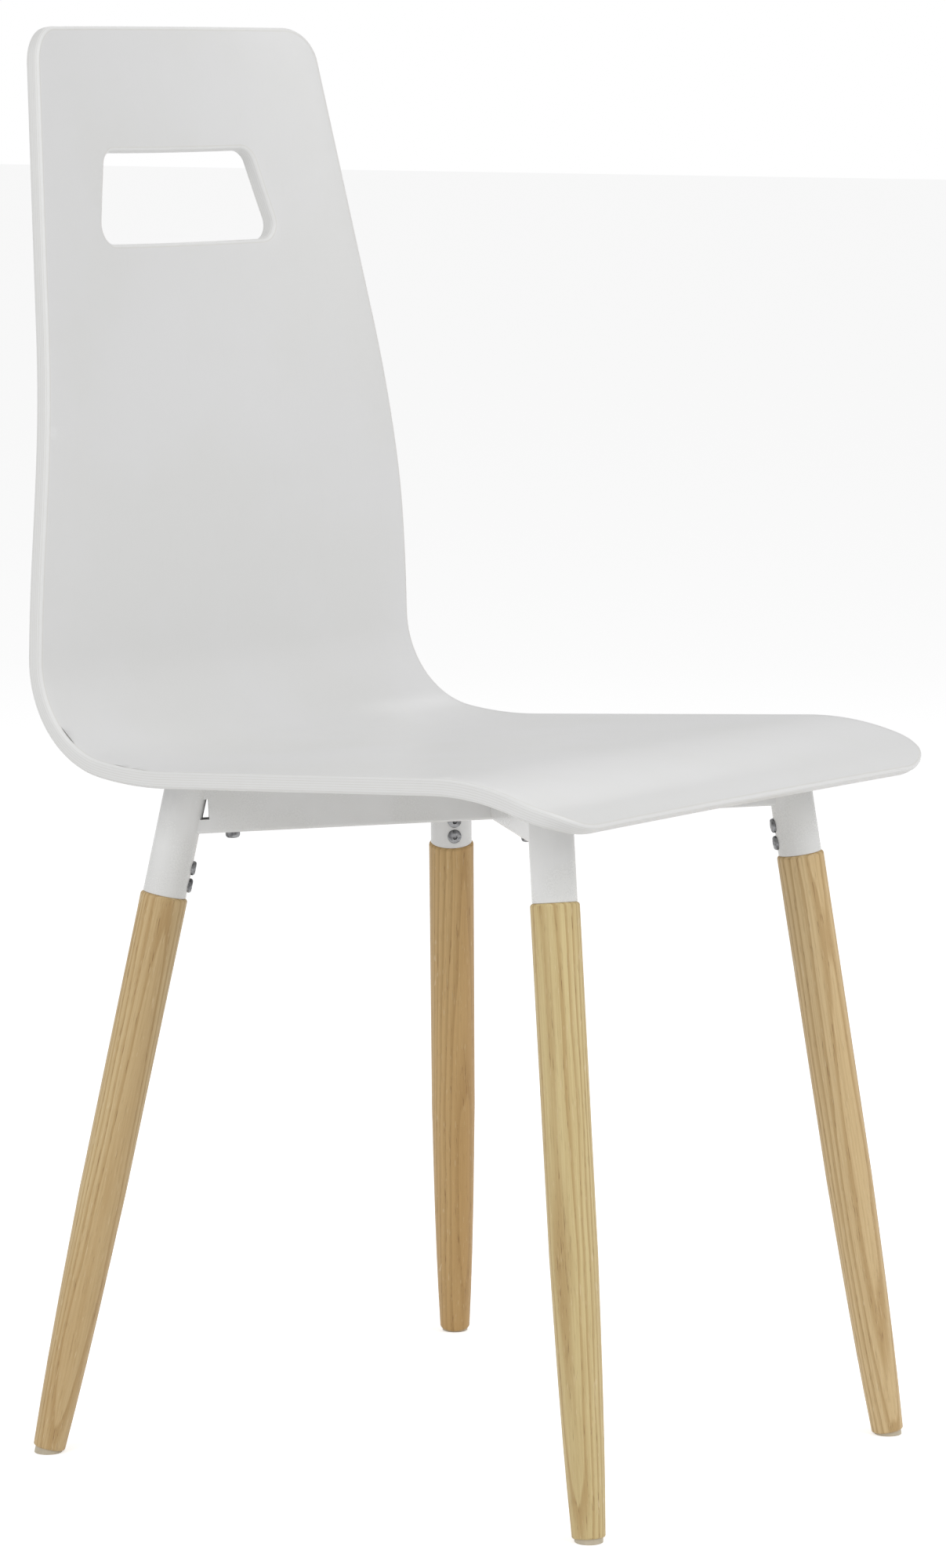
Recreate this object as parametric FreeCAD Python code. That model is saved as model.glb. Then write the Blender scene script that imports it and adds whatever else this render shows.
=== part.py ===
import FreeCAD, Part
import math
import os

# Dining chair: one moulded plywood shell on a welded steel cross with four round
# sockets, and four turned oak legs whose tenons are screwed into the sockets.
# Millimetres. +Z is up and the sitter looks along -Y, so the sitter's right is -X.
# While it is built, the floor is Z = 0 and the two bars cross at X = 0, Y = 0.
# At the end everything is moved so that the origin is the middle of the footprint.

V = FreeCAD.Vector

# ---- shell: the side edge of the sitting face, from the front rim to the top ----
overall_height = 880.0
seat_height = 447.5          # highest point of the seat's side edge
seat_depth = 415.5           # front rim to the lower back
front_overhang = 198.0       # front rim to the crossing of the bars
shell_thickness = 10.5
front_roll_radius = 194.0
front_roll_drop = 24.0       # degrees below level at the front rim
seat_rake = 4.0              # degrees, the seat falls towards the back
seat_ease_radius = 260.0
seat_ease_rise = 8.0         # degrees above level where the tight bend starts
bend_radius = 60.0
lower_back_length = 62.0
back_ease_radius = 850.0
back_lean = 9.3              # degrees from upright

# ---- shell: its width, and how far its middle lies behind its side edges ----
front_width = 398.0
waist_width = 357.5
top_width = 265.5
waist_station = 518.0        # along the shell from the front rim
waist_blend = 50.0
front_crown = 3.0            # the middle of the front rim is this much higher
crown_length = 110.0
back_hollow = 17.0           # the middle of the upper back is this much deeper
hollow_start = 450.0         # along the shell from the front rim
hollow_end = 750.0
station_step = 30.0          # spacing of the cross-sections
top_crown = 3.5              # the middle of the top edge is this much higher
top_cut_reach = 2.0          # the crowned cut is this many times as wide as the top
top_corner_radius = 27.0
front_corner_radius = 38.0
edge_round = 2.2

# ---- hand hole in the back ----
hole_top_below_top = 77.0
hole_height = 58.5
hole_top_width = 139.0
hole_bottom_width = 171.0
hole_corner_radius = 9.0

# ---- steel cross under the seat ----
bar_height = 30.0
bar_width = 15.0
bar_wall = 1.5
bar_corner_radius = 2.0
bar_angle = 47.45            # degrees between a bar and the X axis, in plan
frame_tilt = 3.0             # degrees, the front of the cross is higher
seat_to_bar_gap = 5.8        # at the crossing
front_reach = 180.5          # crossing to front socket axis
rear_reach = 197.0           # crossing to rear socket axis
vent_slot_width = 2.8        # upright slot in each bar end beside its socket
vent_slot_height = 12.5

# ---- sockets ----
socket_diameter = 27.0
socket_wall = 1.5
socket_rise = 16.5           # above the middle of the bars
front_socket_drop = 46.2     # below the middle of the bars
rear_socket_drop = 53.8
socket_edge_round = 0.6

# ---- legs ----
front_foot_x = 156.7
front_foot_y = -189.1
rear_foot_x = 203.4
rear_foot_y = 196.6
leg_diameter = 29.4
leg_knee_diameter = 28.9
leg_foot_diameter = 20.0
leg_taper_length = 165.0
leg_shoulder_round = 2.0
leg_foot_round = 1.5
lower_taper_share = (0.3, 0.45)   # share of the taper's length, share of its widening
upper_taper_share = (0.6, 0.74)
tenon_chamfer = 1.0
tenon_clearance = 0.15
tenon_end_gap = 2.0

# ---- screws that hold the legs in their sockets, facing the crossing ----
screw_diameter = 4.0
screw_length = 18.0          # under the head
screw_head_diameter = 9.0
screw_head_height = 2.8
screw_bed_depth = 0.6        # flat for the head, cut into the round socket
head_round_share = 0.55      # rounding of a head, as a share of its height
screw_first_height = 8.5     # above the lower end of the socket
screw_spacing = 11.0
screws_per_socket = 2
screw_clearance = 0.25
pilot_clearance = 0.05
drive_width = 3.0
drive_depth = 1.6

# ---- seat bolts, their inserts in the plywood, and the rubber spacers ----
front_bolt_from_socket = 80.0  # along the bar from the socket axis
rear_bolt_from_socket = 30.5
bolt_diameter = 5.0
bolt_head_diameter = 9.0
bolt_head_height = 4.0
bolt_clearance = 0.3
insert_diameter = 8.0
insert_length = 7.5
insert_tip_gap = 0.5         # empty end of the insert's blind hole
bolt_engagement = 6.5
spacer_diameter = 14.0

# ---- floor glides ----
glide_diameter = 17.0
glide_least_thickness = 0.6
glide_edge_round = 0.4
nail_diameter = 2.4
nail_length = 14.0
nail_head_diameter = 6.0
nail_head_height = 1.0
nail_clearance = 0.05

SIDES = (("right", -1), ("left", 1))
ENDS = ("front", "rear")


def unit(vector):
    return V(vector).normalize()


def rotated(vector, axis, degrees):
    return FreeCAD.Rotation(axis, degrees).multVec(vector)


def sector_run(radius, heading_from, heading_to):
    """Forward and upward travel of an arc between two headings, in degrees."""
    first = math.radians(heading_from)
    last = math.radians(heading_to)
    turn = 1.0 if heading_to > heading_from else -1.0
    forward = turn * radius * (math.sin(last) - math.sin(first))
    upward = turn * radius * (math.cos(first) - math.cos(last))
    return forward, upward


# ---------------------------------------------------------------- shell profile

def profile_segments():
    """Length and turn in degrees of each stretch, from the front rim to the top."""
    roll = sector_run(front_roll_radius, front_roll_drop, -seat_rake)
    ease = sector_run(seat_ease_radius, -seat_rake, seat_ease_rise)
    bend = sector_run(bend_radius, seat_ease_rise, 90.0)
    seat_run = seat_depth - roll[0] - ease[0] - bend[0]
    seat_length = seat_run / math.cos(math.radians(seat_rake))
    seat_fall = seat_run * math.tan(math.radians(seat_rake))
    back_ease = sector_run(back_ease_radius, 90.0, 90.0 - back_lean)
    rim_height = seat_height - front_roll_radius * (1 - math.cos(math.radians(front_roll_drop)))
    straight_from = (rim_height + roll[1] - seat_fall + ease[1] + bend[1]
                     + lower_back_length + back_ease[1])
    upper_length = (overall_height - straight_from) / math.cos(math.radians(back_lean))

    def arc_length(radius, degrees):
        return radius * math.radians(degrees)

    return rim_height, (
        (arc_length(front_roll_radius, front_roll_drop + seat_rake), -front_roll_drop - seat_rake),
        (seat_length, 0.0),
        (arc_length(seat_ease_radius, seat_rake + seat_ease_rise), seat_rake + seat_ease_rise),
        (arc_length(bend_radius, 90.0 - seat_ease_rise), 90.0 - seat_ease_rise),
        (lower_back_length, 0.0),
        (arc_length(back_ease_radius, back_lean), -back_lean),
        (upper_length, 0.0),
    )


rim_height, segments = profile_segments()
shell_length = sum(length for length, turn in segments)


def profile_at(distance):
    """Point on the side edge of the sitting face in the YZ plane, and its heading in radians."""
    y = -front_overhang
    z = rim_height
    heading = math.radians(front_roll_drop)
    left = distance
    for length, turn in segments:
        step = min(left, length)
        if turn:
            radius = length / math.radians(turn)
            after = heading + step / radius
            y += radius * (math.sin(after) - math.sin(heading))
            z += radius * (math.cos(heading) - math.cos(after))
            heading = after
        else:
            y += step * math.cos(heading)
            z += step * math.sin(heading)
        left -= step
        if left <= 0:
            break
    return V(0, y, z), heading


def sitter_normal(heading):
    return V(0, -math.sin(heading), math.cos(heading))


def half_width_at(distance):
    """Two tapers that meet at the waist, blended over a short stretch."""
    lower_slope = (front_width - waist_width) / 2 / waist_station
    upper_slope = (waist_width - top_width) / 2 / (shell_length - waist_station)
    past = distance - waist_station
    if past <= -waist_blend:
        ramp = 0.0
    elif past >= waist_blend:
        ramp = past
    else:
        ramp = (past + waist_blend) ** 2 / (4 * waist_blend)
    return front_width / 2 - lower_slope * distance - (upper_slope - lower_slope) * ramp


def hollow_at(distance):
    """How far the middle lies below (or behind) the side edges."""
    crown = front_crown * max(0.0, 1 - distance / crown_length) ** 2
    share = (distance - hollow_start) / (hollow_end - hollow_start)
    share = min(1.0, max(0.0, share))
    return back_hollow * share * share * (3 - 2 * share) - crown


def section(distance):
    """Closed cross-section of the shell, square to its profile."""
    point, heading = profile_at(distance)
    normal = sitter_normal(heading)
    half = half_width_at(distance)
    hollow = hollow_at(distance)
    edges = []
    corners = []
    for depth in (0.0, shell_thickness):
        right = point - normal * depth + V(-half, 0, 0)
        left = point - normal * depth + V(half, 0, 0)
        middle = point - normal * (depth + 2 * hollow)
        curve = Part.BezierCurve()
        curve.setPoles([right, middle, left])
        edges.append(curve.toShape())
        corners.append((right, left))
    (face_right, face_left), (back_right, back_left) = corners
    return Part.Wire([edges[0], Part.makeLine(face_left, back_left),
                      edges[1], Part.makeLine(back_right, face_right)])


def shell_sections():
    """Cross-sections from the front rim to just past the top, for the crowned top edge."""
    length = shell_length + 2 * top_crown
    count = math.ceil(length / station_step)
    return [section(length * index / count) for index in range(count + 1)]


def seat_surface(x, y, depth=0.0):
    """Point on the seat, or this depth under its sitting face, above the plan point (x, y)."""
    low = 0.0
    high = shell_length / 2
    for _ in range(50):
        middle = (low + high) / 2
        if profile_at(middle)[0].y < y:
            low = middle
        else:
            high = middle
    point, heading = profile_at(low)
    share = 1 - (x / half_width_at(low)) ** 2
    normal = sitter_normal(heading)
    return V(x, 0, 0) + point - normal * (hollow_at(low) * share + depth)


# ---------------------------------------------------------------- plain helpers

def rod(start, direction, length, radius):
    return Part.makeCylinder(radius, length, start, direction)


def near(edge, points, reach):
    middle = edge.valueAt((edge.FirstParameter + edge.LastParameter) / 2)
    return any(middle.distanceToPoint(point) < reach for point in points)


def hexagon_recess(start, direction, across, depth):
    """Key socket, cut into a head from its outer face."""
    side = direction.cross(V(0, 0, 1))
    if side.Length < 0.1:
        side = V(1, 0, 0)
    side = unit(side) * (across / math.sqrt(3))
    corners = [start + rotated(side, direction, 60 * index) for index in range(7)]
    return Part.Face(Part.makePolygon(corners)).extrude(direction * depth)


def button_screw(seat, inward, shank_radius, shank_length, head_radius, head_height, recess):
    """Screw whose head sits on the point seat; its shank runs along inward."""
    outward = inward * -1
    head = rod(seat, outward, head_height, head_radius)
    rim = [edge for edge in head.Edges if near(edge, [seat + outward * head_height], head_radius * 1.1)
           and edge.Closed]
    head = head.makeFillet(min(head_height, head_radius) * head_round_share, rim)
    across, depth = recess
    head = head.cut(hexagon_recess(seat + outward * head_height, inward, across, depth))
    return head.fuse(rod(seat, inward, shank_length, shank_radius)).removeSplitter()


# ---------------------------------------------------------------- seat shell

def rounded_outline(corners, radius):
    """Closed wire through the corners, each one rounded."""
    edges = []
    count = len(corners)
    tangents = []
    for index, corner in enumerate(corners):
        before = unit(corners[index - 1] - corner)
        after = unit(corners[(index + 1) % count] - corner)
        half_angle = before.getAngle(after) / 2
        reach = radius / math.tan(half_angle)
        start = corner + before * reach
        end = corner + after * reach
        to_centre = unit(before + after)
        middle = corner + to_centre * (radius / math.sin(half_angle) - radius)
        edges.append(Part.Arc(start, middle, end).toShape())
        tangents.append((start, end))
    for index in range(count):
        edges.append(Part.makeLine(tangents[index][1], tangents[(index + 1) % count][0]))
    return Part.Wire(Part.__sortEdges__(edges))


def hand_hole_tool():
    """Trapezoid with round corners, run square through the upper back."""
    top_point, heading = profile_at(shell_length)
    up = V(0, math.cos(heading), math.sin(heading))
    through = sitter_normal(heading) * -1
    middle = top_point + through * (back_hollow / 2)
    high = middle - up * hole_top_below_top
    low = high - up * hole_height
    half_top = hole_top_width / 2
    half_bottom = hole_bottom_width / 2
    corners = [high - V(half_top, 0, 0), high + V(half_top, 0, 0),
               low + V(half_bottom, 0, 0), low - V(half_bottom, 0, 0)]
    reach = back_hollow + 2 * shell_thickness
    tool = Part.Face(rounded_outline(corners, hole_corner_radius)).extrude(through * (2 * reach))
    tool.translate(through * -reach)
    return tool


def top_waste():
    """Everything above the crowned top edge, on an arc that runs out past both sides."""
    top_point, heading = profile_at(shell_length)
    up = V(0, math.cos(heading), math.sin(heading))
    through = sitter_normal(heading) * -1
    start = top_point - through * (2 * shell_thickness)
    side = V(half_width_at(shell_length) * top_cut_reach, 0, 0)
    crown = up * top_crown
    low = crown * (1 - top_cut_reach ** 2)
    above = crown * top_cut_reach ** 2
    arc = Part.Arc(start - side + low, start + crown, start + side + low).toShape()
    sides = Part.makePolygon([start + side + low, start + side + above,
                              start - side + above, start - side + low])
    outline = Part.Wire([arc] + sides.Edges)
    return Part.Face(outline).extrude(through * (2 * back_hollow + 4 * shell_thickness))


def rounded_corners(blank):
    """Round the shell's four corners, seen square to its faces."""
    for distance, radius in ((0.0, front_corner_radius), (shell_length, top_corner_radius)):
        point, heading = profile_at(distance)
        middle = point - sitter_normal(heading) * (shell_thickness / 2)
        corners = [middle + V(side * half_width_at(distance), 0, 0) for name, side in SIDES]
        edges = [edge for edge in blank.Edges if near(edge, corners, shell_thickness / 4)]
        blank = blank.makeFillet(radius, edges)
    return blank


def rim_edges(blank):
    """Edges of the two faces, not those that run through the thickness."""
    return [edge for edge in blank.Edges if edge.Length > 1.5 * shell_thickness]


def seat_shell():
    blank = Part.makeLoft(shell_sections(), True, False).cut(top_waste())
    blank = rounded_corners(blank)
    blank = blank.makeFillet(edge_round, rim_edges(blank))
    shell = blank.cut(hand_hole_tool())
    for bolt in bolts:
        depth = bolt["spacer"] + insert_length + insert_tip_gap
        shell = shell.cut(rod(bolt["bar_top"], bolt["up"], depth, insert_diameter / 2 + pilot_clearance))
    return shell


# ---------------------------------------------------------------- steel cross

tilt_axis = V(1, 0, 0)
frame_up = rotated(V(0, 0, 1), tilt_axis, frame_tilt * -1)
crossing = (seat_surface(0, 0, shell_thickness)
            - V(0, 0, seat_to_bar_gap + bar_height / 2 / math.cos(math.radians(frame_tilt))))


def bar_direction(end, side):
    """Unit vector in the cross's plane, from the crossing to a socket."""
    angle = math.radians(bar_angle)
    toward = -1 if end == "front" else 1
    return rotated(V(side * math.cos(angle), toward * math.sin(angle), 0), tilt_axis, frame_tilt * -1)


def make_corners():
    """Axis, ends and radii of the socket and leg at each corner of the chair."""
    corners = {}
    for end in ENDS:
        reach = front_reach if end == "front" else rear_reach
        drop = front_socket_drop if end == "front" else rear_socket_drop
        foot_x = front_foot_x if end == "front" else rear_foot_x
        foot_y = front_foot_y if end == "front" else rear_foot_y
        for name, side in SIDES:
            along = bar_direction(end, side)
            centre = crossing + along * reach
            floor_point = V(side * foot_x, foot_y, 0)
            lean = unit(centre - floor_point).getAngle(V(0, 0, 1))
            foot = floor_point + V(0, 0, glide_least_thickness + leg_foot_diameter / 2 * math.sin(lean))
            up = unit(centre - foot)
            corners[end, name] = {
                "along": along, "centre": centre, "foot": foot, "up": up, "lean": lean,
                "mouth": centre - up * drop, "top": centre + up * socket_rise,
                "inward": unit(along * -1 + up * along.dot(up)),
            }
    return corners


corners = make_corners()


def make_bolts():
    """Head seat, direction and insert mouth of the four seat bolts."""
    found = []
    for (end, name), corner in corners.items():
        from_socket = front_bolt_from_socket if end == "front" else rear_bolt_from_socket
        axis_point = corner["centre"] - corner["along"] * from_socket
        head_seat = axis_point - frame_up * (bar_height / 2)
        bar_top = axis_point + frame_up * (bar_height / 2)
        under = seat_surface(bar_top.x, bar_top.y, shell_thickness)
        rise = (under.z - bar_top.z) / frame_up.z
        found.append({"seat": head_seat, "up": frame_up, "bar_top": bar_top, "spacer": rise,
                      "insert": bar_top + frame_up * rise})
    return found


bolts = make_bolts()


def box_bar(start, direction, length):
    """Rectangular tube along direction, with its long side upright in the tilted frame."""
    across = unit(direction.cross(frame_up))

    def outline(width, height):
        side = across * (width / 2)
        rise = frame_up * (height / 2)
        return [start - side - rise, start + side - rise, start + side + rise, start - side + rise]

    outer = Part.Face(rounded_outline(outline(bar_width, bar_height), bar_corner_radius))
    inner_radius = max(bar_corner_radius - bar_wall, bar_wall / 3)
    inner = Part.Face(rounded_outline(outline(bar_width - 2 * bar_wall, bar_height - 2 * bar_wall),
                                      inner_radius))
    return outer.cut(inner).extrude(direction * length)


def socket_space(corner):
    """Everything within the socket's outer surface, made long enough to cut a bar end."""
    return rod(corner["mouth"], corner["up"], (corner["top"] - corner["mouth"]).Length,
               socket_diameter / 2)


def vent_slot(corner):
    """Upright slot through both sides of a bar end, against the socket."""
    along = corner["along"]
    across = unit(along.cross(frame_up)) * bar_width
    centre = corner["centre"] - along * (socket_diameter / 2)
    rise = frame_up * (vent_slot_height / 2)
    start = centre - along * vent_slot_width
    wire = Part.makePolygon([start - rise, centre + along * vent_slot_width - rise,
                             centre + along * vent_slot_width + rise, start + rise, start - rise])
    slot = Part.Face(wire).extrude(across * 2)
    slot.translate(across * -1)
    return slot


def bolt_holes():
    holes = []
    for bolt in bolts:
        start = bolt["seat"] - bolt["up"] * bar_wall
        holes.append(rod(start, bolt["up"], bar_height + 2 * bar_wall, bolt_diameter / 2 + bolt_clearance))
    return holes


def finished_bar(bar, ends):
    tools = bolt_holes()
    for corner in ends:
        tools.append(socket_space(corner))
        tools.append(vent_slot(corner))
    return bar.cut(tools)


def long_bar():
    front = corners["front", "left"]
    rear = corners["rear", "right"]
    bar = box_bar(rear["centre"], front["along"], front_reach + rear_reach)
    return finished_bar(bar, (front, rear))


def short_bar(end, side_name):
    """Half bar from the side of the long bar out to its socket."""
    corner = corners[end, side_name]
    other = corners["front", "left"]["along"]
    reach = front_reach if end == "front" else rear_reach
    bar = box_bar(crossing, corner["along"], reach)
    outward = unit(frame_up.cross(other))
    if outward.dot(corner["along"]) < 0:
        outward = outward * -1
    width = reach * 2
    block = Part.makeBox(width, width, bar_height * 2)
    block.translate(V(-width / 2, -width, -bar_height))
    placement = FreeCAD.Placement(crossing + outward * (bar_width / 2),
                                  FreeCAD.Rotation(other, outward, frame_up, "YXZ"))
    block.Placement = placement.multiply(block.Placement)
    return finished_bar(bar.cut(block), (corner,))


# ---------------------------------------------------------------- sockets and legs

def screw_seats(corner):
    """Where the two leg screws' heads sit on the outside of a socket."""
    seats = []
    for index in range(screws_per_socket):
        height = screw_first_height + index * screw_spacing
        seats.append(corner["mouth"] + corner["up"] * height + corner["inward"] * (socket_diameter / 2))
    return seats


def socket(corner):
    length = (corner["top"] - corner["mouth"]).Length
    tube = rod(corner["mouth"], corner["up"], length, socket_diameter / 2)
    tube = tube.cut(rod(corner["mouth"], corner["up"], length, socket_diameter / 2 - socket_wall))
    rims = [edge for edge in tube.Edges if edge.Closed
            and abs(edge.Length - math.pi * socket_diameter) < 0.1]
    tube = tube.makeFillet(socket_edge_round, rims)
    for seat in screw_seats(corner):
        tube = tube.cut(rod(seat - corner["inward"] * (2 * socket_wall), corner["inward"], 4 * socket_wall,
                            screw_diameter / 2 + screw_clearance))
        tube = tube.cut(screw_spot(seat, corner["inward"]))
    return tube


def screw_spot(seat, inward):
    """Small flat that a screw head beds on, cut into the round socket."""
    radius = screw_head_diameter / 2 + screw_clearance
    return rod(seat - inward * screw_bed_depth, inward, socket_wall, radius)


def leg_outline(length):
    """Radius against height above the foot: taper, knee, plain shaft, shoulder, tenon."""
    foot = leg_foot_diameter / 2
    knee = leg_knee_diameter / 2
    full = leg_diameter / 2
    tenon = socket_diameter / 2 - socket_wall - tenon_clearance
    tip = length["tenon"]
    shaft = length["shaft"]
    taper = leg_taper_length
    spline = Part.BSplineCurve()
    spline.interpolate(Points=[V(foot, 0, leg_foot_round),
                               *(V(foot + (knee - foot) * widening, 0, taper * height)
                                 for height, widening in (lower_taper_share, upper_taper_share)),
                               V(knee, 0, taper)])
    chamfer = leg_foot_round
    round_over = leg_shoulder_round
    lean = math.cos(math.radians(45))
    foot_arc = Part.Arc(V(foot - chamfer, 0, 0),
                        V(foot - chamfer * (1 - lean), 0, chamfer * (1 - lean)), V(foot, 0, chamfer))
    shoulder_arc = Part.Arc(V(full, 0, shaft - round_over),
                            V(full - round_over * (1 - lean), 0, shaft - round_over * (1 - lean)),
                            V(full - round_over, 0, shaft))
    return Part.Wire([
        Part.makeLine(V(0, 0, 0), V(foot - chamfer, 0, 0)),
        foot_arc.toShape(),
        spline.toShape(),
        Part.makeLine(V(knee, 0, taper), V(full, 0, shaft - round_over)),
        shoulder_arc.toShape(),
        Part.makeLine(V(full - round_over, 0, shaft), V(tenon, 0, shaft)),
        Part.makeLine(V(tenon, 0, shaft), V(tenon, 0, tip - tenon_chamfer)),
        Part.makeLine(V(tenon, 0, tip - tenon_chamfer), V(tenon - tenon_chamfer, 0, tip)),
        Part.makeLine(V(tenon - tenon_chamfer, 0, tip), V(0, 0, tip)),
        Part.makeLine(V(0, 0, tip), V(0, 0, 0)),
    ])


def leg(corner):
    shaft = (corner["mouth"] - corner["foot"]).Length
    tip = (corner["top"] - corner["foot"]).Length - tenon_end_gap
    outline = leg_outline({"shaft": shaft, "tenon": tip})
    turned = Part.Face(outline).revolve(V(0, 0, 0), V(0, 0, 1), 360)
    turned.Placement = FreeCAD.Placement(corner["foot"], FreeCAD.Rotation(V(0, 0, 1), corner["up"]))
    holes = []
    for seat in screw_seats(corner):
        holes.append(rod(seat, corner["inward"] * -1, screw_length + screw_clearance,
                         screw_diameter / 2 + pilot_clearance))
    holes.append(rod(corner["foot"], corner["up"], nail_length + nail_clearance,
                     nail_diameter / 2 + nail_clearance))
    return turned.cut(holes)


def leg_screws(corner):
    screws = []
    for seat in screw_seats(corner):
        bed = seat - corner["inward"] * screw_bed_depth
        screws.append(button_screw(bed, corner["inward"] * -1, screw_diameter / 2,
                                   screw_length - screw_bed_depth, screw_head_diameter / 2,
                                   screw_head_height, (drive_width, drive_depth)))
    return Part.Compound(screws)


# ---------------------------------------------------------------- seat fixings

def seat_bolts():
    screws = []
    for bolt in bolts:
        length = bar_height + bolt["spacer"] + bolt_engagement
        screws.append(button_screw(bolt["seat"], bolt["up"], bolt_diameter / 2, length,
                                   bolt_head_diameter / 2, bolt_head_height,
                                   (drive_width, drive_depth)))
    return Part.Compound(screws)


def threaded_inserts():
    inserts = []
    for bolt in bolts:
        start = bolt["insert"] + bolt["up"] * pilot_clearance
        body = rod(start, bolt["up"], insert_length, insert_diameter / 2)
        inserts.append(body.cut(rod(start, bolt["up"], insert_length,
                                    bolt_diameter / 2 + pilot_clearance)))
    return Part.Compound(inserts)


def seat_spacers(shell):
    """Rubber discs between the bars and the shell, whose tops follow the underside."""
    discs = []
    for bolt in bolts:
        disc = rod(bolt["bar_top"], bolt["up"], bolt["spacer"] + shell_thickness / 2, spacer_diameter / 2)
        disc = disc.cut(rod(bolt["bar_top"], bolt["up"], bolt["spacer"] + shell_thickness,
                            bolt_diameter / 2 + bolt_clearance))
        disc = disc.cut([shell, rod(bolt["insert"], bolt["up"], shell_thickness,
                                    insert_diameter / 2 + pilot_clearance)])
        discs.append(max(disc.Solids, key=lambda solid: solid.Volume))
    return Part.Compound(discs)


# ---------------------------------------------------------------- floor glides

def glide(corner):
    """Nylon disc square to the leg on top and level with the floor below."""
    tall = corner["foot"].z * 3
    disc = rod(corner["foot"] - corner["up"] * tall, corner["up"], tall, glide_diameter / 2)
    floor = Part.makeBox(tall * 20, tall * 20, tall * 10)
    floor.translate(corner["foot"] - V(tall * 10, tall * 10, corner["foot"].z + tall * 10))
    disc = disc.cut(floor)
    soles = [edge for edge in disc.Edges if edge.Closed and edge.BoundBox.ZMax < glide_least_thickness / 2]
    disc = disc.makeFillet(glide_edge_round, soles)
    sink = rod(corner["foot"], corner["up"] * -1, tall, nail_head_diameter / 2 + nail_clearance)
    sink.translate(corner["up"] * -(nail_head_height / 2))
    return disc.cut([rod(corner["foot"] - corner["up"] * tall, corner["up"], tall,
                         nail_diameter / 2 + nail_clearance), sink])


def glide_nails():
    nails = []
    for corner in corners.values():
        under = corner["foot"] - corner["up"] * (nail_head_height / 2)
        head = rod(under, corner["up"] * -1, nail_head_height, nail_head_diameter / 2)
        shank = rod(under, corner["up"], nail_length + nail_head_height / 2, nail_diameter / 2)
        nails.append(head.fuse(shank).removeSplitter())
    return Part.Compound(nails)


# ---------------------------------------------------------------- assembly

def build():
    shell = seat_shell()
    nodes = {
        "seat_shell": shell,
        "frame_bar_long": long_bar(),
        "frame_bar_short_front": short_bar("front", "right"),
        "frame_bar_short_rear": short_bar("rear", "left"),
        "seat_bolts": seat_bolts(),
        "threaded_inserts": threaded_inserts(),
        "seat_spacers": seat_spacers(shell),
        "glide_nails": glide_nails(),
    }
    for (end, name), corner in corners.items():
        nodes["socket_" + end + "_" + name] = socket(corner)
        nodes["leg_" + end + "_" + name] = leg(corner)
        nodes["leg_screws_" + end + "_" + name] = leg_screws(corner)
        nodes["floor_glide_" + end + "_" + name] = glide(corner)
    return nodes


def exact_box(nodes):
    return Part.Compound(list(nodes.values())).optimalBoundingBox(False, False)


def to_footprint(nodes):
    """Move everything so that the origin is the middle of the chair's box, on the floor."""
    bounds = exact_box(nodes)
    shift = V(0, -(bounds.YMin + bounds.YMax) / 2, 0)
    for shape in nodes.values():
        shape.translate(shift)
    return shift


def main():
    os.makedirs("parts", exist_ok=True)
    nodes = build()
    shift = to_footprint(nodes)
    for name, shape in nodes.items():
        if not shape.isValid():
            print("not valid:", name)
        print(name, len(shape.Solids), round(shape.Volume))
        shape.exportStep("parts/" + name + ".step")
    bounds = exact_box(nodes)
    print("moved by", round(shift.y, 2), "box", bounds)


main()
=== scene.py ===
import bpy
import math
import random
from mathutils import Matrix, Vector
from mathutils.geometry import delaunay_2d_cdt


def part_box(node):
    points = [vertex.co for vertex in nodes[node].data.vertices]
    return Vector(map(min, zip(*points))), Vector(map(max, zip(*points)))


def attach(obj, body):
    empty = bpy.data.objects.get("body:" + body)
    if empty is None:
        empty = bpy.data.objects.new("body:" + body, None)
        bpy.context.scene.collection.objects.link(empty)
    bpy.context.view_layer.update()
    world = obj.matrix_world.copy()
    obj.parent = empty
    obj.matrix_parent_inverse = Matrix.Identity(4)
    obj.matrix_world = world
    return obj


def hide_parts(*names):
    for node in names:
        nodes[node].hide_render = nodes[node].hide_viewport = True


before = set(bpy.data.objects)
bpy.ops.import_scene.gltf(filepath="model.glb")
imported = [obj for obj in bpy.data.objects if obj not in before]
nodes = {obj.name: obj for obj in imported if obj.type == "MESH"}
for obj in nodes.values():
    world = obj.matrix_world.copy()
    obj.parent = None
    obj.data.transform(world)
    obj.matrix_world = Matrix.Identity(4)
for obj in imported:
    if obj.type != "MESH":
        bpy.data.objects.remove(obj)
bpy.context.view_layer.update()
scene = bpy.context.scene
print("frame loaded:", len(nodes), "nodes")


# Shader sockets as numbers: an expression on them adds its Math nodes.
class Shade:
    def __init__(self, tree, socket):
        self.tree = tree
        self.socket = socket

    def maths(self, operation, first, second):
        return self.tree.node("ShaderNodeMath", {"operation": operation}, [first, second]).out()

    def __add__(self, other):
        return self.maths("ADD", self, other)

    def __sub__(self, other):
        return self.maths("SUBTRACT", self, other)

    def __rsub__(self, other):
        return self.maths("SUBTRACT", other, self)

    def __mul__(self, other):
        return self.maths("MULTIPLY", self, other)

    def __truediv__(self, other):
        return self.maths("DIVIDE", self, other)

    __radd__ = __add__
    __rmul__ = __mul__

    # 0 below low, 1 above high, smooth between
    def step(self, low, high):
        node = self.tree.node("ShaderNodeMapRange", {"interpolation_type": "SMOOTHSTEP"},
                              {"Value": self, "From Min": low, "From Max": high})
        return node.out()


class Node:
    def __init__(self, tree, node):
        self.tree = tree
        self.node = node

    def out(self, name=0):
        return Shade(self.tree, self.node.outputs[name])


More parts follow.
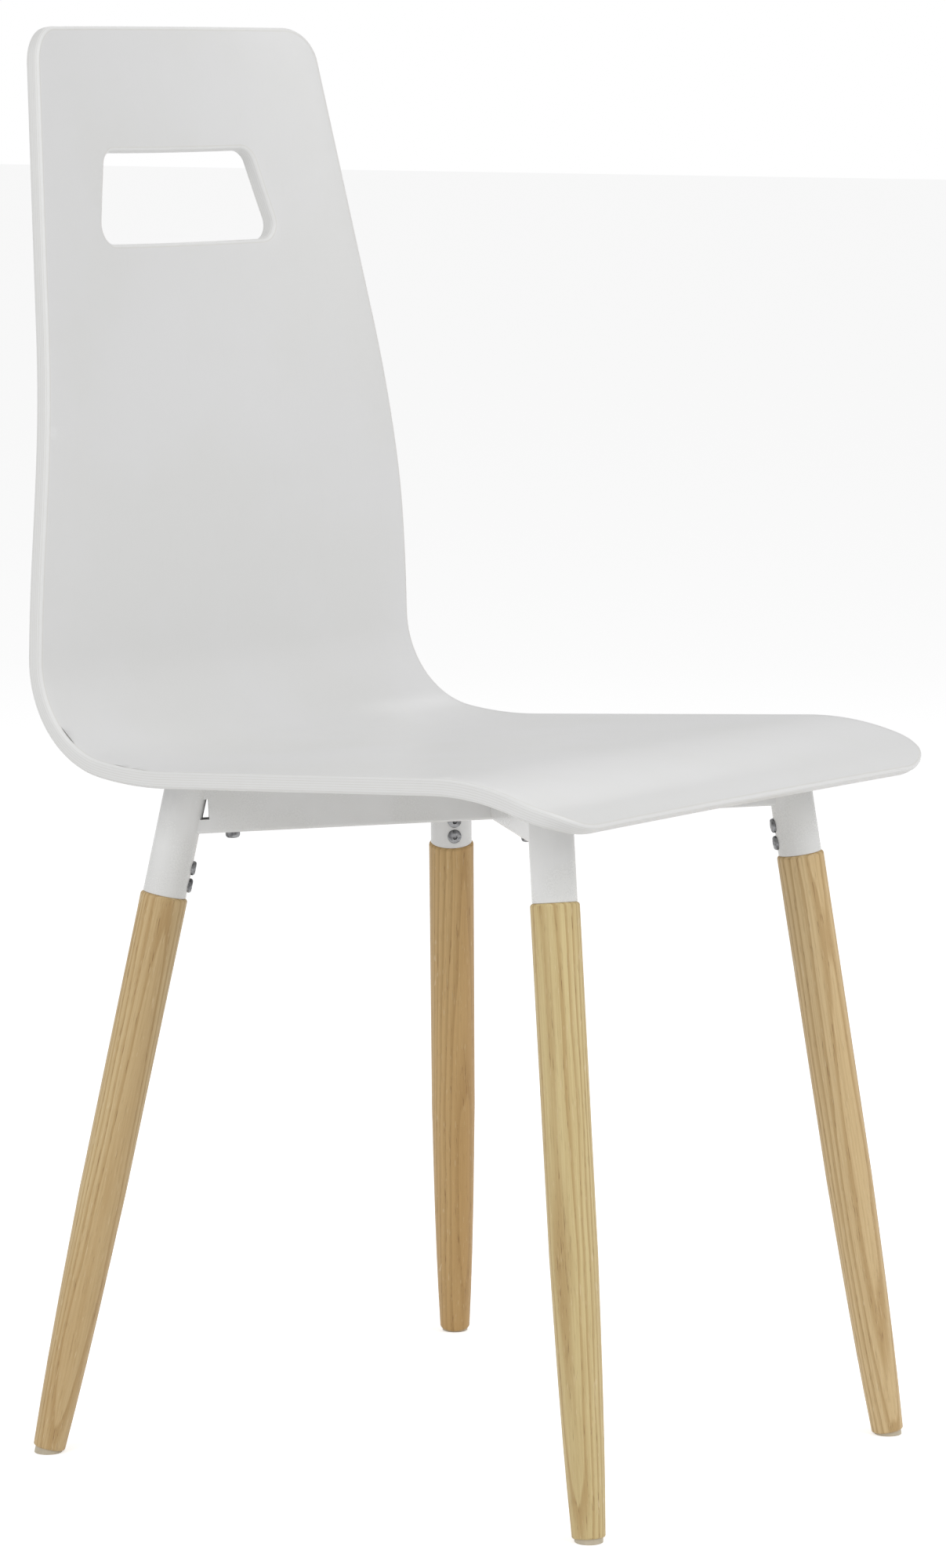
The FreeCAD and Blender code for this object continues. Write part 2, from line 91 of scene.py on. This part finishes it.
# The node tree of one material, or of the world where it is given as owner.
# node() makes any node: its type, its settings, then its inputs.
class Finish:
    def __init__(self, name, owner=None):
        self.material = owner or bpy.data.materials.new(name)
        self.material.use_nodes = True
        self.tree = self.material.node_tree
        self.tree.nodes.clear()

    def node(self, kind, settings=None, inputs=None):
        made = self.tree.nodes.new(kind)
        for key, value in (settings or {}).items():
            if key == "stops":
                self.setStops(made.color_ramp, value)
            else:
                setattr(made, key, value)
        if isinstance(inputs, dict):
            pairs = inputs.items()
        else:
            pairs = enumerate(inputs or [])
        for key, value in pairs:
            socket = made.inputs[key]
            if isinstance(value, Node):
                value = value.out()
            if isinstance(value, Shade):
                self.tree.links.new(value.socket, socket)
            else:
                socket.default_value = value
        return Node(self, made)

    def setStops(self, ramp, stops):
        while len(ramp.elements) < len(stops):
            ramp.elements.new(0.5)
        for element, (place, colour) in zip(ramp.elements, stops):
            element.position = place
            element.color = colour

    def place(self):
        return self.node("ShaderNodeTexCoord").out("Object")

    def turned(self, vector, rotation, scale):
        inputs = {"Vector": vector, "Rotation": rotation, "Scale": scale}
        return self.node("ShaderNodeMapping", {}, inputs).out()

    def noise(self, vector, scale, detail=2.0, roughness=0.5, distortion=0.0):
        return self.node("ShaderNodeTexNoise", {}, {"Vector": vector, "Scale": scale, "Detail": detail,
                         "Roughness": roughness, "Distortion": distortion}).out("Fac")

    def colourMix(self, factor, first, second):
        made = self.node("ShaderNodeMix", {"data_type": "RGBA"})
        for index, value in ((0, factor), (6, first), (7, second)):
            socket = made.node.inputs[index]
            if isinstance(value, Shade):
                self.tree.links.new(value.socket, socket)
            else:
                socket.default_value = value
        return made.out(2)

    # below is the normal of a coarser bump that this one sits on
    def bump(self, height, distance, below=None):
        inputs = {"Height": height, "Distance": distance}
        if below is not None:
            inputs["Normal"] = below
        return self.node("ShaderNodeBump", {}, inputs).out()

    def surface(self, **inputs):
        shader = self.node("ShaderNodeBsdfPrincipled", {}, inputs)
        self.node("ShaderNodeOutputMaterial", {}, {"Surface": shader.out()})
        return self.material


def linear(red, green, blue):
    def one(value):
        value = value / 255
        return value / 12.92 if value <= 0.04045 else ((value + 0.055) / 1.055) ** 2.4
    return (one(red), one(green), one(blue), 1.0)


lacquer = {
    "colour": linear(228, 228, 228),
    "shade": linear(226, 226, 225),
    "roughness": 0.36,
    "pore": linear(212, 211, 208),
    "grainHeight": 0.00002,     # veneer grain that telegraphs through the lacquer
    "peelHeight": 0.000012,
}

def makeLacquer():
    f = Finish("whiteLacquer")
    place = f.place()
    clouds = f.noise(place, 9.0, 3.0)
    grain = f.noise(f.turned(place, (0, 0, 0), (240, 14, 14)), 1.0, 4.0, 0.6)
    pores = f.noise(f.turned(place, (0, 0, 0), (900, 60, 60)), 1.0, 2.0, 0.5)
    peel = f.noise(place, 700.0, 1.0)
    colour = f.colourMix(clouds.step(0.35, 0.65), lacquer["colour"], lacquer["shade"])
    colour = f.colourMix(pores.step(0.62, 0.75) * 0.08, colour, lacquer["pore"])
    rough = lacquer["roughness"] + (grain - 0.5) * 0.08
    normal = f.bump(grain * 0.6 + pores * 0.4, lacquer["grainHeight"])
    normal = f.bump(peel, lacquer["peelHeight"], normal)
    return f.surface(**{"Base Color": colour, "Roughness": rough, "Normal": normal,
                        "IOR": 1.48})


edgeLacquerAndPaintedLight = {
    # painted light: the edge colour is lighter than the faces' lacquer colour
    "colour": linear(233, 233, 232),
    "layer": linear(214, 212, 207),
    "layerCount": 7,
    "roughness": 0.46,
}

# The painted edge shows the plywood layers as very faint lines. Its base colour is painted light:
# lighter than the lacquer of the faces, a lit copy of it.
def makeEdgeLacquerAndPaintedLight():
    f = Finish("whiteEdgeLacquerAndPaintedLight")
    place = f.place()
    depth = f.node("ShaderNodeAttribute", {"attribute_name": "plyDepth"}).out("Fac")
    layers = depth * edgeLacquerAndPaintedLight["layerCount"]
    lines = f.node("ShaderNodeMath", {"operation": "PINGPONG"}, [layers, 0.5]).out()
    wander = f.noise(place, 120.0, 3.0)
    line = (1 - (lines + (wander - 0.5) * 0.12).step(0.02, 0.16)) * 0.55
    # the lighter base colour is painted light; the layer lines are the plywood's own
    colour = f.colourMix(line, edgeLacquerAndPaintedLight["colour"], edgeLacquerAndPaintedLight["layer"])
    rough = edgeLacquerAndPaintedLight["roughness"] + line * 0.2 + (wander - 0.5) * 0.08
    normal = f.bump(1 - line * 0.6 + wander * 0.3, 0.00006)
    return f.surface(**{"Base Color": colour, "Roughness": rough, "Normal": normal, "IOR": 1.48})


powder = {
    "colour": linear(236, 236, 235),
    "shade": linear(231, 231, 229),
    "roughness": 0.26,
    "peelHeight": 0.00004,
}

def makePowder():
    f = Finish("whitePowderCoat")
    place = f.place()
    clouds = f.noise(place, 30.0, 2.0)
    peel = f.noise(place, 1100.0, 2.0)
    fine = f.noise(place, 3200.0, 1.0)
    colour = f.colourMix(clouds.step(0.4, 0.7), powder["colour"], powder["shade"])
    rough = powder["roughness"] + (clouds - 0.5) * 0.12 + (peel - 0.5) * 0.08
    normal = f.bump(peel * 0.8 + fine * 0.2, powder["peelHeight"])
    return f.surface(**{"Base Color": colour, "Roughness": rough, "Normal": normal, "IOR": 1.5})


oak = {
    "latewood": linear(174, 137, 84),
    "pore": linear(126, 84, 46),
    "fleck": linear(229, 209, 170),
    "roughness": 0.48,
    "ringWidth": 0.0032,
}

# Straight-grained oak: growth layers across the leg, long pores and short ray flecks along it.
def makeOak(name, axis, seed, pale, warm):
    f = Finish(name)
    turn = axis.rotation_difference(Vector((0, 0, 1))).to_euler()
    along = f.turned(f.place(), tuple(turn), (1, 1, 1))
    rng = random.Random(seed)
    ringTurn = (rng.uniform(-0.02, 0.02), rng.uniform(-0.02, 0.02), rng.uniform(0, math.pi))
    board = f.node("ShaderNodeMapping", {}, {"Vector": along, "Rotation": ringTurn,
                   "Location": (rng.uniform(0.2, 0.6), rng.uniform(0.2, 0.6), rng.uniform(0, 3))}).out()
    slow = f.noise(f.turned(board, (0, 0, 0), (26, 26, 2.2)), 1.0, 3.0, 0.5)
    waver = f.noise(f.turned(board, (0, 0, 0), (60, 60, 5)), 1.0, 3.0, 0.55)
    axes = f.node("ShaderNodeSeparateXYZ", {}, [board])
    ring = axes.out("X") / oak["ringWidth"] + slow * 5.0 + waver * 0.7
    layer = f.node("ShaderNodeMath", {"operation": "FRACT"}, [ring]).out()
    late = layer.step(0.35, 0.9) * (1 - layer.step(0.92, 1.0))
    pores = f.noise(f.turned(board, (0, 0, 0), (1700, 1700, 80)), 1.0, 2.0, 0.55)
    fibre = f.noise(f.turned(board, (0, 0, 0), (900, 900, 14)), 1.0, 3.0, 0.6)
    flecks = f.noise(f.turned(board, (0, 0, 0), (160, 1500, 110)), 1.0, 1.0)
    pore = pores.step(0.60, 0.72) * (0.35 + late * 0.65)
    fleck = flecks.step(0.66, 0.76) * 0.45
    colour = f.colourMix(slow.step(0.3, 0.7), pale, warm)
    colour = f.colourMix(late * 0.55, colour, oak["latewood"])
    colour = f.colourMix(fibre.step(0.35, 0.75) * 0.30, colour, oak["latewood"])
    colour = f.colourMix(fleck, colour, oak["fleck"])
    colour = f.colourMix(pore * 0.7, colour, oak["pore"])
    rough = oak["roughness"] + pore * 0.2 - fleck * 0.12 + (fibre - 0.5) * 0.12
    normal = f.bump(fibre * 0.35 - pore * 0.8 + late * 0.12, 0.00012)
    return f.surface(**{"Base Color": colour, "Roughness": rough, "Normal": normal, "IOR": 1.45})


zinc = {"colour": linear(150, 151, 153), "dull": linear(104, 104, 106), "roughness": 0.36}

def makeZinc():
    f = Finish("dullZinc")
    place = f.place()
    patches = f.noise(place, 420.0, 3.0)
    scratches = f.noise(f.turned(place, (0.4, 0.2, 0), (400, 4000, 400)), 1.0, 2.0)
    colour = f.colourMix(patches.step(0.35, 0.7), zinc["colour"], zinc["dull"])
    rough = zinc["roughness"] + (patches - 0.5) * 0.3 + (scratches - 0.5) * 0.1
    normal = f.bump(scratches, 0.00001)
    return f.surface(**{"Base Color": colour, "Metallic": 0.9, "Roughness": rough, "Normal": normal})


rubber = {"colour": linear(46, 46, 47), "dust": linear(74, 74, 74), "roughness": 0.8}

def makeRubber():
    f = Finish("blackRubber")
    place = f.place()
    grains = f.noise(place, 2400.0, 2.0)
    dust = f.noise(place, 120.0, 3.0)
    colour = f.colourMix(dust.step(0.5, 0.8) * 0.5, rubber["colour"], rubber["dust"])
    return f.surface(**{"Base Color": colour, "Roughness": rubber["roughness"] + (grains - 0.5) * 0.15,
                        "Normal": f.bump(grains, 0.00003)})


nylon = {"colour": linear(205, 194, 172), "worn": linear(172, 160, 139), "roughness": 0.5}

def makeNylon():
    f = Finish("naturalNylon")
    place = f.place()
    haze = f.noise(place, 300.0, 3.0)
    scuffs = f.noise(f.turned(place, (0, 0, 0.7), (300, 2600, 300)), 1.0, 2.0)
    worn = scuffs.step(0.55, 0.72) * 0.6
    colour = f.colourMix(haze.step(0.3, 0.8) * 0.35 + worn * 0.4, nylon["colour"], nylon["worn"])
    return f.surface(**{"Base Color": colour, "Roughness": nylon["roughness"] + worn * 0.25,
                        "Normal": f.bump(1 - worn, 0.00003), "IOR": 1.53})


print("finishes ready")

shell = {
    "height": 0.880,
    "seatHeight": 0.4475,
    "seatDepth": 0.4155,
    "frontOverhang": 0.198,     # front rim to the crossing of the bars
    "thickness": 0.0105,
    "rollRadius": 0.194,
    "rollDrop": 21.5,
    "lipRadius": 0.025,         # the last few millimetres before the rim turn down more
    "lipDrop": 62.0,
    "rake": 4.0,
    "easeRadius": 0.260,
    "easeRise": 8.0,
    "bendRadius": 0.060,
    "lowerBack": 0.062,
    "backEase": 0.850,
    "backLean": 9.3,
    "frontWidth": 0.398,
    "waistWidth": 0.3575,
    "topWidth": 0.2655,
    "waistStation": 0.518,
    "waistBlend": 0.050,
    "frontCrown": 0.003,
    "crownLength": 0.110,
    "hollow": 0.017,
    "hollowStart": 0.450,
    "hollowEnd": 0.750,
    "topCrown": 0.0035,
    "frontCorner": 0.038,
    "topCorner": 0.027,
    "edgeRound": 0.0030,
    "holeTop": 0.077,           # below the top edge
    "holeHeight": 0.0585,
    "holeTopWidth": 0.139,
    "holeBottomWidth": 0.171,
    "holeCorner": 0.011,
    "gridStep": 0.007,          # between the points of the two faces
    "gridRise": 0.866,          # from row to row, as a share of the step
    "gridHalfColumns": 40,
    "nearShare": 0.6,           # no grid point is this near an outline, as a share of the step
    "outlineStep": 0.004,
    "cornerArcStep": 0.0025,
    "holeArcStep": 0.0012,
    "cornerReach": 0.05,        # where the sides are read to get their direction at a corner
    "rimSteps": 5,
}


def sectorRun(radius, start, end):
    first, last = math.radians(start), math.radians(end)
    turn = 1.0 if end > start else -1.0
    return (turn * radius * (math.sin(last) - math.sin(first)),
            turn * radius * (math.cos(first) - math.cos(last)))


# Lengths and turns of the side profile, from the front rim to the top.
def shellStretches():
    s = shell
    roll = sectorRun(s["rollRadius"], s["rollDrop"], -s["rake"])
    ease = sectorRun(s["easeRadius"], -s["rake"], s["easeRise"])
    bend = sectorRun(s["bendRadius"], s["easeRise"], 90.0)
    lean = sectorRun(s["backEase"], 90.0, 90.0 - s["backLean"])
    lip = sectorRun(s["lipRadius"], s["lipDrop"], s["rollDrop"])
    run = s["seatDepth"] - roll[0] - ease[0] - bend[0] - lip[0]
    rim = s["seatHeight"] - s["rollRadius"] * (1 - math.cos(math.radians(s["rollDrop"]))) - lip[1]
    fall = run * math.tan(math.radians(s["rake"]))
    top = rim + lip[1] + roll[1] - fall + ease[1] + bend[1] + s["lowerBack"] + lean[1]
    return rim, (
        (s["lipRadius"] * math.radians(s["lipDrop"] - s["rollDrop"]), s["rollDrop"] - s["lipDrop"]),
        (s["rollRadius"] * math.radians(s["rollDrop"] + s["rake"]), -s["rollDrop"] - s["rake"]),
        (run / math.cos(math.radians(s["rake"])), 0.0),
        (s["easeRadius"] * math.radians(s["rake"] + s["easeRise"]), s["rake"] + s["easeRise"]),
        (s["bendRadius"] * math.radians(90.0 - s["easeRise"]), 90.0 - s["easeRise"]),
        (s["lowerBack"], 0.0),
        (s["backEase"] * math.radians(s["backLean"]), -s["backLean"]),
        ((s["height"] - top) / math.cos(math.radians(s["backLean"])), 0.0),
    )


rimHeight, stretches = shellStretches()
shellLength = sum(length for length, turn in stretches)
shellLow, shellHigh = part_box("seat_shell")


def profileAt(distance):
    y, z = -shell["frontOverhang"], rimHeight
    heading = math.radians(shell["lipDrop"])
    left = distance
    for index, (length, turn) in enumerate(stretches):
        step = left if index == len(stretches) - 1 else min(left, length)
        if turn:
            radius = length / math.radians(turn)
            after = heading + step / radius
            y += radius * (math.sin(after) - math.sin(heading))
            z += radius * (math.cos(heading) - math.cos(after))
            heading = after
        else:
            y += step * math.cos(heading)
            z += step * math.sin(heading)
        left -= step
        if left <= 0:
            break
    return y, z, heading


def halfWidth(distance):
    s = shell
    lower = (s["frontWidth"] - s["waistWidth"]) / 2 / s["waistStation"]
    upper = (s["waistWidth"] - s["topWidth"]) / 2 / (shellLength - s["waistStation"])
    past = distance - s["waistStation"]
    blend = s["waistBlend"]
    ramp = 0.0 if past <= -blend else past if past >= blend else (past + blend) ** 2 / (4 * blend)
    return s["frontWidth"] / 2 - lower * distance - (upper - lower) * ramp


def hollowAt(distance):
    s = shell
    crown = s["frontCrown"] * max(0.0, 1 - distance / s["crownLength"]) ** 2
    share = min(1.0, max(0.0, (distance - s["hollowStart"]) / (s["hollowEnd"] - s["hollowStart"])))
    return s["hollow"] * share * share * (3 - 2 * share) - crown


# A point of the shell from its flat pattern: x across, distance along, depth under the sitting face.
def shellPoint(x, distance, depth, shift):
    y, z, heading = profileAt(max(0.0, distance))
    over = min(0.0, distance)   # a little before the front rim
    y, z = y + over * math.cos(heading), z + over * math.sin(heading)
    sunk = hollowAt(distance) * (1 - (x / halfWidth(distance)) ** 2) + depth
    return Vector((x, y + math.sin(heading) * sunk + shift, z - math.cos(heading) * sunk))


def cornerArc(before, corner, after, radius, step=shell["cornerArcStep"]):
    inward, outward = (before - corner).normalized(), (after - corner).normalized()
    half = inward.angle(outward) / 2
    start = corner + inward * (radius / math.tan(half))
    end = corner + outward * (radius / math.tan(half))
    centre = corner + (inward + outward).normalized() * (radius / math.sin(half))
    first, last = start - centre, end - centre
    count = max(4, math.ceil(first.angle(last) * radius / step))
    points = []
    for index in range(count + 1):
        share = index / count
        points.append(centre + first.slerp(last, share) * radius)
    return points


# Closed outline of the flat pattern, counter-clockwise, with round corners.
def shellOutline():
    length, step, reach = shellLength, shell["outlineStep"], shell["cornerReach"]
    frontRight, frontLeft = Vector((-halfWidth(0), 0)), Vector((halfWidth(0), 0))
    topRight, topLeft = Vector((-halfWidth(length), length)), Vector((halfWidth(length), length))
    crown = shell["topCrown"]
    slope = Vector((1, 2 * crown / halfWidth(length)))
    loop = []
    start = cornerArc(Vector((-halfWidth(reach), reach)), frontRight, frontLeft, shell["frontCorner"])
    right = cornerArc(frontRight, frontLeft, Vector((halfWidth(reach), reach)), shell["frontCorner"])
    upLeft = cornerArc(Vector((halfWidth(length - reach), length - reach)), topLeft,
                       topLeft + Vector((-1, slope.y)), shell["topCorner"])
    upRight = cornerArc(topRight + slope, topRight, Vector((-halfWidth(length - reach), length - reach)),
                        shell["topCorner"])
    loop += start
    count = round((right[0].x - start[-1].x) / step)
    loop += [Vector((start[-1].x + (right[0].x - start[-1].x) * i / count, 0)) for i in range(1, count)]
    loop += right
    count = round((upLeft[0].y - right[-1].y) / step)
    for i in range(1, count):
        distance = right[-1].y + (upLeft[0].y - right[-1].y) * i / count
        loop.append(Vector((halfWidth(distance), distance)))
    loop += upLeft
    count = round((upLeft[-1].x - upRight[0].x) / step)
    for i in range(1, count):
        x = upLeft[-1].x + (upRight[0].x - upLeft[-1].x) * i / count
        loop.append(Vector((x, length + crown * (1 - (x / halfWidth(length)) ** 2))))
    loop += upRight
    count = round((upRight[-1].y - start[0].y) / step)
    for i in range(1, count):
        distance = upRight[-1].y + (start[0].y - upRight[-1].y) * i / count
        loop.append(Vector((-halfWidth(distance), distance)))
    return loop


def holeOutline():
    high = shellLength - shell["holeTop"]
    low = high - shell["holeHeight"]
    top, bottom = shell["holeTopWidth"] / 2, shell["holeBottomWidth"] / 2
    corners = [Vector((-bottom, low)), Vector((-top, high)), Vector((top, high)), Vector((bottom, low))]
    loop = []
    for index in range(4):
        before, corner, after = corners[index - 1], corners[index], corners[(index + 1) % 4]
        arc = cornerArc(before, corner, after, shell["holeCorner"], shell["holeArcStep"])
        if loop:
            loop += straight(loop[-1], arc[0], shell["outlineStep"])
        loop += arc
    return loop + straight(loop[-1], loop[0], shell["outlineStep"])


def straight(start, end, step):
    count = max(1, round((end - start).length / step))
    return [start.lerp(end, i / count) for i in range(1, count)]


# Unit vectors from each outline point into the material.
def inwardOf(loop):
    found = []
    count = len(loop)
    for index in range(count):
        along = (loop[(index + 1) % count] - loop[index - 1]).normalized()
        found.append(Vector((-along.y, along.x)))
    return found


def inside(point, loop):
    odd = False
    for index in range(len(loop)):
        a, b = loop[index - 1], loop[index]
        if (a.y > point.y) != (b.y > point.y):
            if point.x < (b.x - a.x) * (point.y - a.y) / (b.y - a.y) + a.x:
                odd = not odd
    return odd


def nearLoop(point, loop, reach):
    return any(abs(q.x - point.x) < reach and abs(q.y - point.y) < reach for q in loop)


def makeShell():
    radius, thick = shell["edgeRound"], shell["thickness"]
    shift = (shellHigh.y + shellLow.y) / 2 - shellMiddle()
    loops = [shellOutline(), holeOutline()]
    inwards = [inwardOf(loop) for loop in loops]
    verts, faces, edgeFaces, depths = [], [], [], []
    # rounded rims: rows run from the sitting face, over the edge, to the underside
    rows = []
    steps = shell["rimSteps"]
    for k in range(steps + 1):
        turn = math.pi / 2 * k / steps
        rows.append((radius * (1 - math.sin(turn)), radius * (1 - math.cos(turn))))
    rows += [(0.0, radius + (thick - 2 * radius) * k / 3) for k in (1, 2)]
    rows += [(inset, thick - depth) for inset, depth in reversed(rows[:steps + 1])]
    firstRings, lastRings = [], []
    for loop, inward in zip(loops, inwards):
        count = len(loop)
        rings = []
        for inset, depth in rows:
            ring = []
            for point, normal in zip(loop, inward):
                q = point + normal * inset
                ring.append(len(verts))
                verts.append(shellPoint(q.x, q.y, depth, shift))
                depths.append(depth / thick)
            rings.append(ring)
        for upper, lower in zip(rings, rings[1:]):
            for i in range(count):
                j = (i + 1) % count
                faces.append((upper[i], lower[i], lower[j], upper[j]))
                edgeFaces.append(1)
        firstRings.append(rings[0])
        lastRings.append(rings[-1])
    # both faces share one flat pattern of triangles
    insetLoops = [[p + n * radius for p, n in zip(loop, inward)] for loop, inward in zip(loops, inwards)]
    flat = [p for loop in insetLoops for p in loop]
    borders = len(flat)
    step = shell["gridStep"]
    rise = step * shell["gridRise"]
    rowsUp = int(shellLength / rise) + 2
    for row in range(rowsUp):
        for column in range(-shell["gridHalfColumns"], shell["gridHalfColumns"] + 1):
            point = Vector(((column + 0.5 * (row % 2)) * step, row * step * shell["gridRise"]))
            if inside(point, insetLoops[0]) and not inside(point, insetLoops[1]):
                if not any(nearLoop(point, loop, step * shell["nearShare"]) for loop in insetLoops):
                    flat.append(point)
    first = len(insetLoops[0])
    edges = [(i, (i + 1) % first) for i in range(first)]
    second = borders - first
    edges += [(first + i, first + (i + 1) % second) for i in range(second)]
    out = delaunay_2d_cdt(flat, edges, [], 0, 1e-7)
    points, triangles = out[0], out[2]
    kept = []
    for triangle in triangles:
        middle = sum((points[i] for i in triangle), Vector((0, 0))) / 3
        if inside(middle, insetLoops[0]) and not inside(middle, insetLoops[1]):
            kept.append(triangle)
    rings = (firstRings[0] + firstRings[1], lastRings[0] + lastRings[1])
    for rim, depth, flip in ((rings[0], 0.0, False), (rings[1], thick, True)):
        index = {}
        for i in range(len(points)):
            if i < borders:
                index[i] = rim[i]
            else:
                index[i] = len(verts)
                verts.append(shellPoint(points[i].x, points[i].y, depth, shift))
                depths.append(depth / thick)
        for a, b, c in kept:
            faces.append((index[c], index[b], index[a]) if flip else (index[a], index[b], index[c]))
            edgeFaces.append(0)
    mesh = bpy.data.meshes.new("seatShellSkin")
    mesh.from_pydata(verts, [], faces)
    mesh.validate()
    mesh.attributes.new("plyDepth", "FLOAT", "POINT").data.foreach_set("value", depths)
    mesh.materials.append(makeLacquer())
    mesh.materials.append(makeEdgeLacquerAndPaintedLight())
    for polygon, edge in zip(mesh.polygons, edgeFaces):
        polygon.material_index = edge
        polygon.use_smooth = True
    piece = bpy.data.objects.new("seatShellSkin", mesh)
    scene.collection.objects.link(piece)
    print("shell skin:", len(verts), "points,", len(faces), "faces")
    return piece


# Middle of the profile along Y before it is placed on the CAD shell.
def shellMiddle():
    front = min(shellPoint(0, 0, depth, 0).y for depth in (0, shell["thickness"]))
    high = shellPoint(0, shellLength + shell["topCrown"], shell["thickness"], 0).y
    return (front + high) / 2


shellSkin = makeShell()
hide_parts("seat_shell")
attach(shellSkin, "root")

def dress(node, material):
    mesh = nodes[node].data
    mesh.materials.clear()
    mesh.materials.append(material)
    for polygon in mesh.polygons:
        polygon.material_index = 0


powderCoat = makePowder()
zincSteel = makeZinc()
blackRubber = makeRubber()
naturalNylon = makeNylon()
for name in nodes:
    if name.startswith(("frame_bar", "socket")):
        dress(name, powderCoat)
    elif name.startswith("leg_screws") or name in ("seat_bolts", "glide_nails", "threaded_inserts"):
        dress(name, zincSteel)
    elif name == "seat_spacers":
        dress(name, blackRubber)
    elif name.startswith("floor_glide"):
        dress(name, naturalNylon)


endSlice = 0.006    # height of the leg's two ends that give its axis

# The leg's own axis, from the middle of its lowest part to the middle of its highest.
def legAxis(name):
    points = [v.co for v in nodes[name].data.vertices]
    low = min(p.z for p in points)
    high = max(p.z for p in points)

    def middle(part):
        xs, ys, zs = ([p[i] for p in part] for i in range(3))
        return Vector(((min(xs) + max(xs)) / 2, (min(ys) + max(ys)) / 2, (min(zs) + max(zs)) / 2))
    foot = middle([p for p in points if p.z < low + endSlice])
    tip = middle([p for p in points if p.z > high - endSlice])
    return foot, tip


# each leg's own board, paler or warmer than its neighbours
legBoards = {
    "front_right": {"seed": 11, "pale": linear(221, 202, 150), "warm": linear(204, 181, 128)},
    "front_left": {"seed": 12, "pale": linear(223, 197, 150), "warm": linear(206, 176, 126)},
    "rear_right": {"seed": 13, "pale": linear(219, 195, 148), "warm": linear(202, 172, 124)},
    "rear_left": {"seed": 14, "pale": linear(214, 181, 127), "warm": linear(194, 156, 100)},
}
for end, board in legBoards.items():
    foot, tip = legAxis("leg_" + end)
    axis = (tip - foot).normalized()
    dress("leg_" + end, makeOak("oak_" + end, axis, board["seed"], board["pale"], board["warm"]))
print("nodes dressed")

studio = {
    "floorHalfSize": 30.0,
    "floorColour": linear(240, 240, 240),
    "floorGlow": 0.50,
    "worldStrength": 0.50,
    "sidePower": 26.0,
    "sideSize": 1.8,
    "rimPower": 8.0,
    "rimSize": 1.6,
    "fillPower": 34.0,
    "fillSize": 2.2,
}


def makeFloor():
    mesh = bpy.data.meshes.new("studioFloor")
    size = studio["floorHalfSize"]
    corners = [(-size, -size, 0), (size, -size, 0), (size, size, 0), (-size, size, 0)]
    mesh.from_pydata(corners, [], [(0, 1, 2, 3)])
    f = Finish("studioFloorPaper")
    path = f.node("ShaderNodeLightPath")
    seen = path.out("Is Camera Ray") + path.out("Is Glossy Ray") + path.out("Is Transmission Ray")
    paper = f.node("ShaderNodeBsdfDiffuse", {}, {"Color": studio["floorColour"]})
    strength = seen.step(0.0, 1.0) * studio["floorGlow"]
    glow = f.node("ShaderNodeEmission", {}, {"Color": (1, 1, 1, 1), "Strength": strength})
    both = f.node("ShaderNodeAddShader", {}, [paper.out(), glow.out()])
    f.node("ShaderNodeOutputMaterial", {}, {"Surface": both.out()})
    mesh.materials.append(f.material)
    floor = bpy.data.objects.new("studioFloor", mesh)
    scene.collection.objects.link(floor)


def makeWorld():
    world = bpy.data.worlds.new("studioWorld")
    scene.world = world
    f = Finish("studioWorld", world)
    path = f.node("ShaderNodeLightPath")
    rays = [path.out("Is Camera Ray"), path.out("Is Transmission Ray")]
    seen = f.node("ShaderNodeMath", {"operation": "MAXIMUM"}, rays).out()
    strength = f.node("ShaderNodeMapRange", {}, {"Value": seen, "To Min": studio["worldStrength"],
                      "To Max": 1.0})
    background = f.node("ShaderNodeBackground", {}, {"Color": (1, 1, 1, 1), "Strength": strength.out()})
    f.node("ShaderNodeOutputWorld", {}, {"Surface": background.out()})


def areaLight(name, place, target, power, size):
    data = bpy.data.lights.new(name, "AREA")
    data.energy = power
    data.size = size
    light = bpy.data.objects.new(name, data)
    light.location = place
    light.rotation_euler = (Vector(target) - Vector(place)).to_track_quat("-Z", "Y").to_euler()
    scene.collection.objects.link(light)


makeFloor()
makeWorld()
areaLight("sideLight", (-2.6, 0.2, 2.0), (0, 0, 0.45), studio["sidePower"], studio["sideSize"])
areaLight("rimLight", (1.8, 1.4, 2.4), (0, 0, 0.45), studio["rimPower"], studio["rimSize"])
areaLight("fillLight", (0.6, -2.4, 2.2), (0, 0, 0.45), studio["fillPower"], studio["fillSize"])

view = {
    "azimuth": -51.76,
    "elevation": 7.79,
    "distance": 3.28912,
    "lens": 121.405,
    "sensor": 36.0,
    "aim": (0.0, -0.02294, 0.4128),
}

camera = bpy.data.objects.new("productCamera", bpy.data.cameras.new("productCamera"))
scene.collection.objects.link(camera)
turn, rise = math.radians(view["azimuth"]), math.radians(view["elevation"])
backward = Vector((math.sin(turn) * math.cos(rise), -math.cos(turn) * math.cos(rise), math.sin(rise)))
camera.location = Vector(view["aim"]) + backward * view["distance"]
camera.rotation_euler = (-backward).to_track_quat("-Z", "Y").to_euler()
camera.data.sensor_width = view["sensor"]
camera.data.lens = view["lens"]
scene.camera = camera
scene.view_settings.view_transform = "Standard"
print("studio ready")
